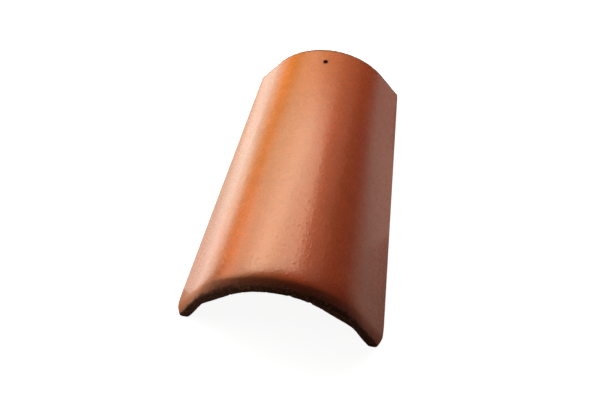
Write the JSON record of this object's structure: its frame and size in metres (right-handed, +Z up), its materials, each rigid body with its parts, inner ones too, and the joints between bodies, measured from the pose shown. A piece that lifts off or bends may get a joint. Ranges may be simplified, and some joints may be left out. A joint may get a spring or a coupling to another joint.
{
  "type": "tapered clay ridge tile",
  "caption": "Tapered barrel-shaped clay roof tile for ridges and hips, with a rounded thick nose, a plain narrow head and a nail hole near the head.",
  "frame": {"origin": "middle of the footprint, on the plane that the two feet rest on", "axes": "+Z up from the resting plane, -Y towards the wide nose, +Y towards the narrow head with the nail hole, X across the tile"},
  "size_m": [0.273, 0.45, 0.1158],
  "materials": {
    "fired_clay": "terracotta with a fine-grained satin surface, darker and rougher on the front edge and underneath"
  },
  "bodies": {
    "root": {"roof_tile": "fired_clay"}
  },
  "joints": []
}
